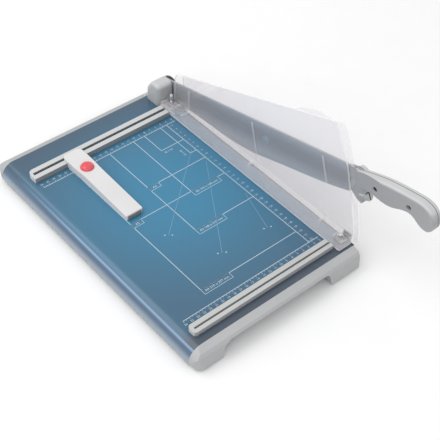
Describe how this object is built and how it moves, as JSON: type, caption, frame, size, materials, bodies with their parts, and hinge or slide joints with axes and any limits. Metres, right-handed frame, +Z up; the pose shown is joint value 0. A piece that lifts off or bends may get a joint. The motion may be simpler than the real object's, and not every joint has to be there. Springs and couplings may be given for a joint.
{
  "type": "business card cutter",
  "caption": "Lever paper cutter with a ruled steel table, clear blade guards, a sprung sheet clamp and a sliding gauge, for trimming cards and sheets.",
  "frame": {"origin": "centre of the bounding box at the floor", "axes": "+X to the right across the cutting edge, +Y to the back where the blade pivots, +Z up"},
  "size_m": [0.296, 0.5558, 0.209],
  "materials": {
    "table_enamel": "satin blue enamel with pale printed rules",
    "rail_plastic": "fine satin",
    "housing_plastic": "fine satin",
    "rubber": "matt",
    "plain_steel": "zinc plated",
    "knife_steel": "ground",
    "blade_steel": "ground and lacquered",
    "fastener": "bright",
    "cap_black": "gloss",
    "grip_plastic": "satin",
    "clear_plastic": "clear polycarbonate",
    "stop_plastic": "satin",
    "gauge_plastic": "semi gloss",
    "button_red": "gloss",
    "tip_dark": "satin"
  },
  "bodies": {
    "base": {"table_sheet": "table_enamel", "table_braces": "plain_steel", "front_rail": "rail_plastic", "back_rail": "rail_plastic", "rubber_feet": "rubber", "rail_screws": "fastener", "lower_knife": "knife_steel", "edge_screws": "fastener", "pivot_housing": "housing_plastic", "pivot_bracket": "plain_steel", "bracket_bolts": "fastener", "pivot_bolt": "plain_steel", "pivot_washer": "plain_steel", "disc_spring": "plain_steel", "pivot_nut": "plain_steel", "far_guard": "clear_plastic", "guard_brackets": "plain_steel", "guard_screws": "fastener", "back_stop": "stop_plastic", "front_stop": "stop_plastic", "stop_screws": "fastener", "clamp_posts": "fastener", "clamp_springs": "plain_steel"},
    "blade_arm": {"blade": "blade_steel", "blade_stud": "fastener", "pivot_cap": "cap_black", "cap_screws": "fastener", "handle_near": "grip_plastic", "handle_far": "grip_plastic", "handle_screws": "fastener", "neck_screw": "fastener", "stop_screw": "fastener"},
    "clamp": {"clamp_guard": "clear_plastic"},
    "gauge": {"gauge_arm": "gauge_plastic", "gauge_keys": "gauge_plastic", "gauge_tip": "tip_dark", "button_spring": "plain_steel"},
    "button": {"gauge_button": "button_red", "button_latch": "plain_steel"}
  },
  "joints": [
    {"name": "arm_swing", "type": "hinge", "parent": "base", "child": "blade_arm", "pos_m": [0.13649, 0.24446, 0.044], "axis": [1, 0, 0], "range_deg": [-8, 14]},
    {"name": "clamp_press", "type": "slide", "parent": "base", "child": "clamp", "axis": [0, 0, 1], "range_m": [-0.0022, 0], "stiffness_N_per_m": 1500, "springref_m": 0.006, "deforming": ["clamp_springs"]},
    {"name": "gauge_slide", "type": "slide", "parent": "base", "child": "gauge", "axis": [1, 0, 0], "range_m": [-0.048, 0.146]},
    {"name": "button_press", "type": "slide", "parent": "gauge", "child": "button", "axis": [0, 0, 1], "range_m": [-0.0012, 0], "stiffness_N_per_m": 800, "springref_m": 0.004, "deforming": ["button_spring"]}
  ]
}
